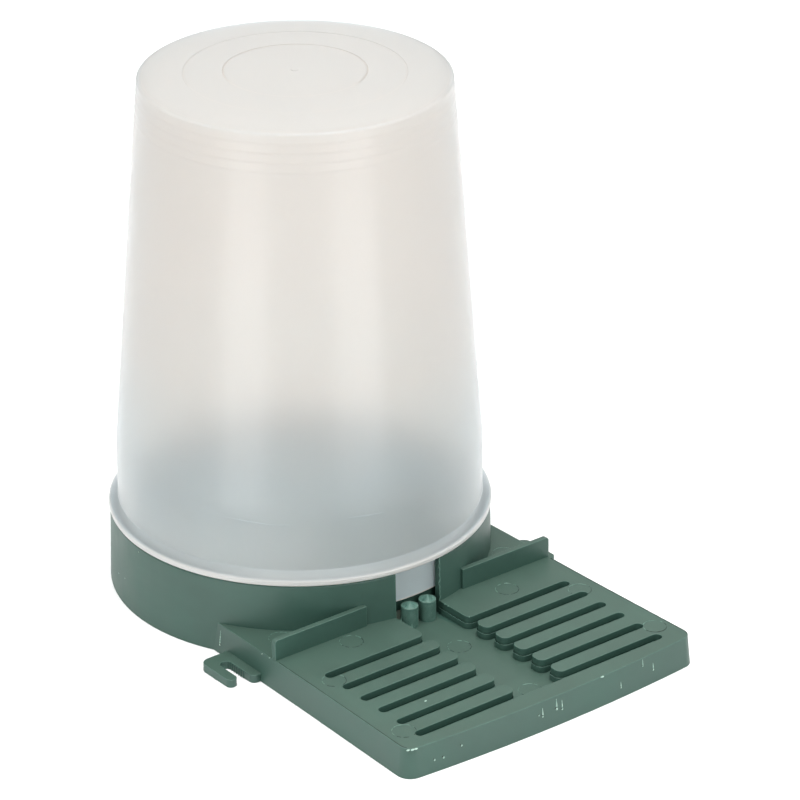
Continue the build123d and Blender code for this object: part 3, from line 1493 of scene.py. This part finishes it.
    def kerb(
        self, name: str, width: float, low: float, high: float, material: bpy.types.Material
    ) -> bpy.types.Object:
        """Run a kerb along the walls of the channel and its bars.

        Args:
            name: Name of the piece.
            width: How far the kerb stands out of the walls.
            low: Level of its lower side.
            high: Level of its upper side.
            material: Its finish.

        Returns:
            The kerb.
        """
        loop = self.channel_loop()
        points = [(x * MM, y * MM, (low + high) / 2 * MM) for (x, y), _ in loop]
        start = mesh_of(f"{name}_path", points, list(pairwise(range(len(points)))))
        give(start, "corner_radius", [radius * MM for _, radius in loop])
        values = {
            "Width": 2 * width * MM,
            "Height": (high - low) * MM,
            "Round": self.ledge_round * MM,
            "Finish": material,
        }
        return kerb_tree().piece(name, start, values)

    def circle(self, centre: Vector, radius: float, bead: float) -> list[Bead]:
        """Lay out a bead round a circle.

        Args:
            centre: Centre of the circle.
            radius: Radius of the circle.
            bead: Radius of the bead.

        Returns:
            The bead's points, with the first again at the end.
        """
        points = []
        for step in range(self.circle_points + 1):
            turn = FULL_TURN * step / self.circle_points
            place = centre + Vector((math.cos(turn), math.sin(turn), 0)) * radius
            points.append(Bead(place, bead))
        return points

    def pin_marks(self, name: str, front: bool) -> bpy.types.Object:
        """Make half of each rim that the ejector pins left, broken where a groove cuts it.

        Args:
            name: Name of the piece.
            front: Whether it is the front half, nearly black as painted shade; the back half is
                pale as a painted glint.

        Returns:
            All half rims as one piece.
        """
        up = Vector((0, 0, 1))
        centres = [Vector((x, y, self.platform_top)) for x, y in self.pins_on_platform]
        centres += [Vector((x, y, self.floor_level)) for x, y in self.pins_in_channel]
        paths = []
        for centre in centres:
            path = []
            for point in self.circle(centre, self.pin_radius, self.pin_bead):
                above = (point.place + up * self.pin_probe) * MM
                below = self.surface.ray_cast(above, -up, self.pin_reach * MM)[0]
                wave = noise.noise(point.place / self.pin_patch)
                patchy = self.pin_share + self.pin_swing * wave
                # Front halves get painted shade, back halves a painted glint
                on_half = (point.place.y < centre.y) == front
                kept = below and on_half and patchy > self.pin_least
                path.append(Bead(point.place, point.radius * patchy if kept else 0.0))
            paths.append(path)
        return run_beads(name, paths, self.dark if front else self.rubbed_and_glint)

    def on_wall(
        self, wall: Wall, across: float, level: float, start: float
    ) -> tuple[Vector, Vector]:
        """Find the point of the moulding that a level line of sight meets first.

        Args:
            wall: Wall at which one looks.
            across: Place along the wall, in millimetres.
            level: Level of the line of sight, in millimetres.
            start: How far from the axis it starts, in millimetres.

        Returns:
            The place in millimetres and the direction out of the wall.
        """
        ahead = Vector(wall.value)
        along = Vector((abs(ahead.y), abs(ahead.x), 0))
        origin = along * across + Vector((0, 0, level)) - ahead * start
        place, out, _, _ = self.surface.ray_cast(origin * MM, ahead)
        return place / MM, out

    def parting_lines(self) -> bpy.types.Object:
        """Make the nearly black line on top of both long sides, where the mould parted.

        Its colour is painted shade of the fine step there.

        Returns:
            Both lines as one piece.
        """
        level = self.platform_top - self.edge_round
        paths = []
        for side, wall in ((-1, Wall.LEFT), (1, Wall.RIGHT)):
            path = []
            for step in range(self.parting_points + 1):
                share = step / self.parting_points
                y = -self.channel_start - share * (self.platform_front - self.channel_start)
                edge, _ = self.on_wall(wall, y, level, self.far)
                place = Vector((edge.x - side * self.parting_inset, y, self.platform_top))
                wave = noise.noise(Vector((y / self.parting_patch, side, self.parting_slice)))
                patchy = self.parting_share + self.parting_swing * wave
                path.append(Bead(place, self.parting_bead * patchy))
            paths.append(path)
        return run_beads("parting_lines", paths, self.dark)

    def post_lines(self) -> bpy.types.Object:
        """Make the fine turning lines round the guard posts, and their rounded rims.

        The rims' lighter green is partly painted highlight.

        Returns:
            All lines as one piece.
        """
        paths = []
        for side in (-1, 1):
            foot = Vector((side * self.post_half_spacing, -self.post_distance, 0))
            for line in range(self.post_line_count):
                level = self.post_line_first + line * self.post_line_pitch
                centre = foot + Vector((0, 0, level))
                paths.append(self.circle(centre, self.post_radius, self.post_line_bead))
            rim = foot + Vector((0, 0, self.post_rim_level))
            paths.append(self.circle(rim, self.post_rim_radius, self.post_rim_bead))
        return run_beads("post_lines", paths, self.rubbed_and_glint)

    def slot_ribs(self) -> bpy.types.Object:
        """Make the fine ribs that grip a screw, on the inner wall of both lug slots.

        Returns:
            All ribs as one piece.
        """
        ends = (self.edge_round, self.lug_thickness - self.edge_round)
        paths = []
        for side in (-1, 1):
            for rib in range(self.rib_count):
                y = -self.rib_first - rib * self.rib_pitch
                places = [Vector((side * self.rib_wall, y, level)) for level in ends]
                paths.append([Bead(place, self.rib_bead) for place in places])
        return run_beads("slot_ribs", paths, self.green)

    def tails(self) -> bpy.types.Object:
        """Make the pale tails above the burst bubbles, partly painted highlight.

        Returns:
            All tails as one piece.
        """
        paths = []
        for blister in self.blisters:
            if not blister.tail:
                continue
            path = []
            heights = (blister.tail, blister.tail / 2, self.tail_foot * blister.size)
            for height, share in zip(heights, self.tail_radii):
                level = blister.level + height
                place, _ = self.on_wall(blister.wall, blister.across, level, self.far)
                path.append(Bead(place, share * blister.size))
            paths.append(path)
        return run_beads("blister_tails", paths, self.pale)

    def lobes(
        self,
        name: str,
        marks: Sequence[tuple[Vector, Point3, Point3]],
        material: bpy.types.Material,
    ) -> bpy.types.Object:
        """Set small rounded lobes on the moulding.

        Args:
            name: Name of the piece.
            marks: Place and half sizes in millimetres, and Euler turn, of each lobe.
            material: Finish of all lobes.

        Returns:
            All lobes as one piece.
        """
        start = mesh_of(f"{name}_places", [place * MM for place, _, _ in marks])
        sizes = [tuple(value * MM for value in size) for _, size, _ in marks]
        give(start, "lobe_size", sizes, "FLOAT_VECTOR")
        give(start, "lobe_turn", [turn for _, _, turn in marks], "FLOAT_VECTOR")
        return lobe_tree().piece(name, start, {"Detail": self.lobe_detail, "Finish": material})

    def blister_marks(
        self, name: str, form: Point3, shift: Point2, material: bpy.types.Material
    ) -> bpy.types.Object:
        """Make one mark for each burst bubble: its glossy bead, or the dark pit beside it.

        The bead's pale colour is partly painted highlight, the pit's dark colour painted shade.

        Args:
            name: Name of the piece.
            form: Half sizes of the mark, as shares of the blister's size.
            shift: How far the mark lies across and above the bead, as such shares.
            material: Finish of all marks.

        Returns:
            All marks as one piece.
        """
        marks = []
        for blister in self.blisters:
            across = blister.across + shift[0] * blister.size
            level = blister.level + shift[1] * blister.size
            place, out = self.on_wall(blister.wall, across, level, self.far)
            turn = Vector((0, -1, 0)).rotation_difference(out).to_euler()
            half = tuple(share * blister.size for share in form)
            marks.append((place, half, tuple(turn)))
        return self.lobes(name, marks, material)

    def edge_scuffs(self) -> bpy.types.Object:
        """Make the pale scuffs that knocks have left on edges and bars.

        Returns:
            All scuffs as one piece.
        """
        marks = []
        for place, share in self.scuffs:
            half = tuple(share * size for size in self.scuff_size)
            marks.append((Vector(place), half, (0.0, 0.0, 0.0)))
        return self.lobes("edge_scuffs", marks, self.pale)

    def edge_burrs(self) -> bpy.types.Object:
        """Make the thin spikes and specks of torn plastic along the edges of the channel.

        Returns:
            All burrs as one piece.
        """
        inward, back = self.burr_lean
        paths = []
        for x, y, height in self.burrs:
            foot = Vector((x, y, self.platform_top - self.burr_root))
            lean = Vector((math.copysign(inward, -x), back, 1.0)) * height
            radius = min(self.burr_radius, height / 2)
            places = (foot, foot + lean / 2, foot + lean)
            paths.append([Bead(at, share * radius) for at, share in zip(places, self.burr_taper)])
        return run_beads("edge_burrs", paths, self.rubbed_and_glint)

    def notch_flash(self) -> bpy.types.Object:
        """Make the wavy thread that leaked out at the right edge of the ring's notch.

        Returns:
            The thread.
        """
        path = []
        across = self.channel_half_width + self.flash_shift
        count = round((self.flash_high - self.flash_low) / self.flash_step)
        for step in range(count + 1):
            level = self.flash_low + step * self.flash_step
            place, _ = self.on_wall(Wall.FRONT, across, level, self.over_platform)
            wave = noise.noise(Vector((level * self.flash_swell_rate, *self.flash_swell_slice)))
            sway = noise.noise(Vector((level * self.flash_sway_rate, *self.flash_sway_slice)))
            place.x -= self.flash_inset + self.flash_sway * sway
            swell = (1 + wave) / 2
            radius = self.flash_least + swell * (self.flash_most - self.flash_least)
            path.append(Bead(place, radius))
        return run_beads("notch_flash", [path], self.rubbed_and_glint)

    def dress(self) -> None:
        """Build the moulding and its marks and let them ride on the base."""
        hand_over(self.moulding(), Moulding.BASE, stands_for=True)
        level, wide = self.ledge_level, self.ledge_width
        line, proud = self.ledge_highlight, self.ledge_proud
        pieces = (
            # Two mould halves met at this ledge; the lighter green band at its upper edge is
            # painted highlight
            self.kerb("bar_ledge", wide, self.floor_level, level, self.green),
            self.kerb("ledge_highlight", wide + proud, level - line, level, self.rubbed_and_glint),
            self.pin_marks("pin_rims_painted_shade", front=True),
            self.pin_marks("pin_rims_painted_glint", front=False),
            self.parting_lines(),
            self.post_lines(),
            self.slot_ribs(),
            self.tails(),
            self.blister_marks("blister_beads", self.bead_shape, (0.0, 0.0), self.pale),
            # The pits' nearly black lenses are painted shade
            self.blister_marks("blister_pit_shade", self.pit_shape, self.pit_shift, self.dark),
            self.edge_scuffs(),
            self.edge_burrs(),
            self.notch_flash(),
        )
        for piece in pieces:
            smooth(piece.data, SMOOTH_LIMIT)
            hand_over(piece, Moulding.BASE)


@dataclass(frozen=True)
class Softbox:
    """A soft studio light: its azimuth is degrees round the object, its sizes are metres."""

    name: str
    azimuth: float
    watts: float
    height: float = 0.6
    distance: float = 0.9
    width: float = 0.48
    tall: float = 1.2


@dataclass(frozen=True)
class LitBoard:
    """A bright, wedge-shaped board on the floor.

    Its azimuth and half its angle are degrees, and its near end is metres from the wedge's tip.
    """

    azimuth: float
    half_angle: float
    near: float


@dataclass
class Studio:
    """Camera, floor and light: the viewing angle is in degrees, lengths are metres."""

    azimuth: float = -38.432
    elevation: float = 25.836
    distance: float = 1.67129
    target: Point3 = (0.05154, -0.00213, 0.06273)
    focal_pixels: float = 3957.69
    frame_pixels: float = 800.0
    sensor_mm: float = 36.0
    floor_half: float = 4.0
    floor_finish: Finish = PAINTED_FLOOR
    sky: str = "#ffffff"
    sky_behind: float = 0.65
    sky_before: float = 0.3
    # Where the sky turns from one to the other, as the cosine of the angle to the camera's side
    sky_turn: Point2 = (-0.2, 0.8)
    sky_overhead: float = 5.4
    overhead_edge: float = 0.8
    middle: Point3 = (0.0, -0.04, 0.08)
    softboxes: tuple[Softbox, ...] = (
        Softbox("left_softbox", azimuth=-72.0, watts=3.7),
        Softbox("right_softbox", azimuth=2.0, watts=4.3),
    )
    boards: tuple[LitBoard, ...] = (
        LitBoard(azimuth=-71.4, half_angle=15.0, near=0.2),
        LitBoard(azimuth=2.3, half_angle=15.7, near=0.27),
    )
    board_focus: float = 0.038
    board_far: float = 1.0
    board_level: float = 0.0005
    board_finish: Finish = LitWhite()

    @staticmethod
    def around(azimuth: float, elevation: float = 0.0) -> Vector:
        """Direction from the object to a place seen at an azimuth and an elevation.

        Args:
            azimuth: Angle round the object, in degrees from its front.
            elevation: Angle above the floor, in degrees.

        Returns:
            A vector of length one.
        """
        turn, rise = math.radians(azimuth), math.radians(elevation)
        level = math.cos(rise)
        return Vector((math.sin(turn) * level, -math.cos(turn) * level, math.sin(rise)))

    def camera(self) -> None:
        """Place the camera at the photograph's viewing angle."""
        data = bpy.data.cameras.new("photograph_view")
        data.sensor_width = self.sensor_mm
        data.lens = self.sensor_mm * self.focal_pixels / self.frame_pixels
        item = placed("photograph_view", data)
        back = self.around(self.azimuth, self.elevation)
        item.location = Vector(self.target) + back * self.distance
        item.rotation_euler = (-back).to_track_quat("-Z", "Y").to_euler()
        bpy.context.scene.camera = item

    def floor(self) -> None:
        """Lay the pale floor that the feeder stands on."""
        half = self.floor_half
        corners = [(-half, -half, 0.0), (half, -half, 0.0), (half, half, 0.0), (-half, half, 0.0)]
        mesh = mesh_of("floor", corners, faces=[(0, 1, 2, 3)])
        mesh.materials.append(self.floor_finish.material())
        placed("floor", mesh)

    def sky_light(self) -> None:
        """Light the sky: brightest overhead, bright behind the feeder, dim on the camera's side."""
        world = bpy.data.worlds.new("studio")
        world.use_nodes = True
        tree = world.node_tree
        add = partial(add_node, tree)
        sky = tree.nodes["Background"]
        sky.inputs["Color"].default_value = linear(self.sky)
        toward = add("ShaderNodeTexCoord").outputs["Generated"]
        before = add(
            "ShaderNodeVectorMath",
            {"operation": "DOT_PRODUCT", 1: tuple(self.around(self.azimuth))},
            {0: toward},
        )
        low, high = self.sky_turn
        strength = add(
            "ShaderNodeMapRange",
            {
                "From Min": low,
                "From Max": high,
                "To Min": self.sky_behind,
                "To Max": self.sky_before,
            },
            {"Value": before.outputs["Value"]},
        )
        height = add("ShaderNodeSeparateXYZ", links={"Vector": toward})
        overhead = add(
            "ShaderNodeMapRange",
            {
                "interpolation_type": "SMOOTHSTEP",
                "From Min": self.overhead_edge,
                "From Max": 1.0,
                "To Max": self.sky_overhead,
            },
            {"Value": height.outputs["Z"]},
        )
        both = add(
            "ShaderNodeMath",
            {"operation": "ADD"},
            {0: strength.outputs["Result"], 1: overhead.outputs["Result"]},
        )
        tree.links.new(both.outputs["Value"], sky.inputs["Strength"])
        bpy.context.scene.world = world
        bpy.context.scene.view_settings.view_transform = "Standard"

    def lights(self) -> None:
        """Hang the softboxes."""
        for box in self.softboxes:
            data = bpy.data.lights.new(box.name, "AREA")
            data.shape = "RECTANGLE"
            data.size, data.size_y = box.width, box.tall
            data.energy = box.watts
            item = placed(box.name, data)
            item.location = self.around(box.azimuth) * box.distance
            item.location.z = box.height
            aim = Vector(self.middle) - item.location
            item.rotation_euler = aim.to_track_quat("-Z", "Y").to_euler()

    def lit_boards(self) -> None:
        """Lay the bright boards, which only gloss sees: soft upright bands on the reservoir."""
        # A round mirror gathers the bands at half its radius before its axis
        focus = self.around(self.azimuth) * self.board_focus
        focus.z = self.board_level
        corners = []
        for board in self.boards:
            left, right = (
                self.around(board.azimuth + side * board.half_angle) for side in (-1, 1)
            )
            corners += [focus + left * board.near, focus + left * self.board_far]
            corners += [focus + right * self.board_far, focus + right * board.near]
        faces = [tuple(range(at, at + 4)) for at in range(0, len(corners), 4)]
        mesh = mesh_of("lit_boards", corners, faces=faces)
        mesh.materials.append(self.board_finish.material())
        item = placed("lit_boards", mesh)
        item.visible_camera = False
        item.visible_diffuse = False
        item.visible_transmission = False
        item.visible_shadow = False

    def build(self) -> None:
        """Set up camera, floor and light."""
        self.camera()
        self.floor()
        self.lit_boards()
        self.lights()
        self.sky_light()


def main() -> None:
    """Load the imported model, build and dress both mouldings and set up the studio."""
    logging.basicConfig(level=logging.INFO, format="%(name)s: %(message)s")
    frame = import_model()
    Base(source=frame["nodes"][Moulding.BASE.value]).dress()
    Reservoir().dress()
    Studio().build()


if __name__ == "__main__":
    main()
